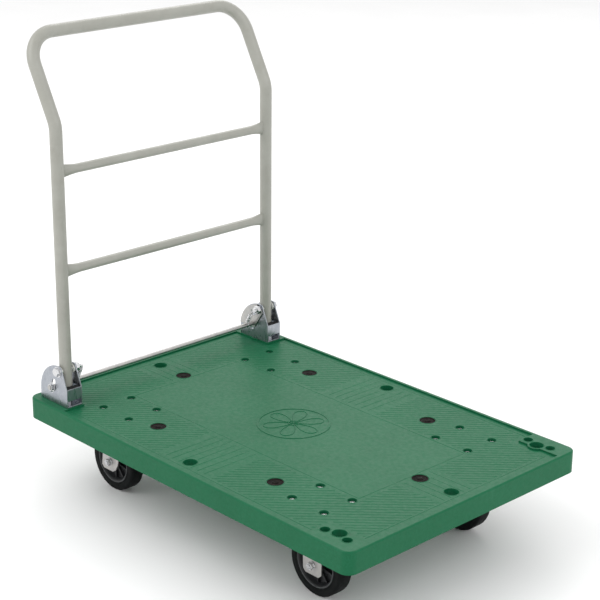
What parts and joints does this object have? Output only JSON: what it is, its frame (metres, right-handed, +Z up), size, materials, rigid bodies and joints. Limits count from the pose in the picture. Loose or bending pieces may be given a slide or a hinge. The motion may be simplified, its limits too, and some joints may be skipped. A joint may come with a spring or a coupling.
{
  "type": "folding platform cart",
  "caption": "Platform cart with a ribbed moulded deck, a tubular handle that folds flat over it, a sprung foot lock bar, and rigid and swivel casters.",
  "frame": {"origin": "on the floor under the middle of the whole cart, handle upright", "axes": "+X from the handle end to the free end, +Y to the left of a person pushing, +Z up"},
  "size_m": [0.9184, 0.604, 0.9177],
  "materials": {
    "deck_plastic": "satin textured",
    "plug_rubber": "matte",
    "handle_paint": "semi-gloss powder coat",
    "lock_paint": "semi-gloss",
    "tyre_rubber": "matte",
    "rim_plastic": "satin",
    "bush_brass": "satin",
    "black_rubber": "matte",
    "nylon": "satin",
    "bracket_zinc": "zinc plated",
    "fork_zinc": "zinc plated",
    "bearing_steel": "polished",
    "fastener_zinc": "zinc plated"
  },
  "bodies": {
    "chassis": {"deck": "deck_plastic", "deck_plugs": "plug_rubber", "bracket_left": "bracket_zinc", "bracket_right": "bracket_zinc", "bracket_bolts": "fastener_zinc", "bracket_nuts": "fastener_zinc", "backing_plates": "bracket_zinc", "pivot_bolts": "fastener_zinc", "pivot_nuts": "fastener_zinc", "pivot_spacers": "nylon", "stop_blocks": "black_rubber", "lock_springs": "fastener_zinc", "swivel_plate_left": "fork_zinc", "swivel_plate_right": "fork_zinc", "upper_races": "bearing_steel", "bearing_balls": "bearing_steel", "kingpins": "fastener_zinc", "kingpin_nuts": "fastener_zinc", "rigid_fork_left": "fork_zinc", "rigid_fork_right": "fork_zinc", "caster_bolts": "fastener_zinc", "caster_washers": "fastener_zinc", "caster_nuts": "fastener_zinc", "rigid_axle_bolts": "fastener_zinc", "rigid_axle_nuts": "fastener_zinc", "rigid_axle_sleeves": "fastener_zinc"},
    "handle": {"upright_left": "handle_paint", "upright_right": "handle_paint", "grip_tube": "handle_paint", "upper_rung": "handle_paint", "lower_rung": "handle_paint", "tube_end_caps": "black_rubber", "pivot_sleeves": "fastener_zinc"},
    "lock_bar": {"lock_bar": "lock_paint", "lock_plate_left": "lock_paint", "lock_plate_right": "lock_paint", "lock_bar_washers": "fastener_zinc", "lock_bar_caps": "fastener_zinc"},
    "swivel_left": {"swivel_fork_left": "fork_zinc", "lower_race_left": "bearing_steel", "swivel_axle_bolt_left": "fastener_zinc", "swivel_axle_nut_left": "fastener_zinc", "swivel_axle_sleeve_left": "fastener_zinc"},
    "swivel_right": {"swivel_fork_right": "fork_zinc", "lower_race_right": "bearing_steel", "swivel_axle_bolt_right": "fastener_zinc", "swivel_axle_nut_right": "fastener_zinc", "swivel_axle_sleeve_right": "fastener_zinc"},
    "wheel_rear_left": {"tyre_rear_left": "tyre_rubber", "rim_rear_left": "rim_plastic", "bush_rear_left": "bush_brass"},
    "wheel_rear_right": {"tyre_rear_right": "tyre_rubber", "rim_rear_right": "rim_plastic", "bush_rear_right": "bush_brass"},
    "wheel_front_left": {"tyre_front_left": "tyre_rubber", "rim_front_left": "rim_plastic", "bush_front_left": "bush_brass"},
    "wheel_front_right": {"tyre_front_right": "tyre_rubber", "rim_front_right": "rim_plastic", "bush_front_right": "bush_brass"}
  },
  "joints": [
    {"name": "handle_fold", "type": "hinge", "parent": "chassis", "child": "handle", "pos_m": [-0.36081, 0, 0.258], "axis": [0, 1, 0], "range_deg": [0, 90]},
    {"name": "lock_bar_slide", "type": "slide", "parent": "chassis", "child": "lock_bar", "axis": [-0.342, 0, -0.9397], "range_m": [0, 0.009], "stiffness_N_per_m": 2000, "springref_m": -0.008, "deforming": ["lock_springs"]},
    {"name": "swivel_left_turn", "type": "hinge", "parent": "chassis", "child": "swivel_left", "pos_m": [-0.26081, 0.187, 0.14], "axis": [0, 0, 1], "continuous": true},
    {"name": "swivel_right_turn", "type": "hinge", "parent": "chassis", "child": "swivel_right", "pos_m": [-0.26081, -0.187, 0.14], "axis": [0, 0, 1], "continuous": true},
    {"name": "wheel_rear_left_roll", "type": "hinge", "parent": "swivel_left", "child": "wheel_rear_left", "pos_m": [-0.30181, 0.187, 0.0625], "axis": [0, 1, 0], "continuous": true},
    {"name": "wheel_rear_right_roll", "type": "hinge", "parent": "swivel_right", "child": "wheel_rear_right", "pos_m": [-0.30181, -0.187, 0.0625], "axis": [0, 1, 0], "continuous": true},
    {"name": "wheel_front_left_roll", "type": "hinge", "parent": "chassis", "child": "wheel_front_left", "pos_m": [0.27919, 0.187, 0.0625], "axis": [0, 1, 0], "continuous": true},
    {"name": "wheel_front_right_roll", "type": "hinge", "parent": "chassis", "child": "wheel_front_right", "pos_m": [0.27919, -0.187, 0.0625], "axis": [0, 1, 0], "continuous": true}
  ]
}
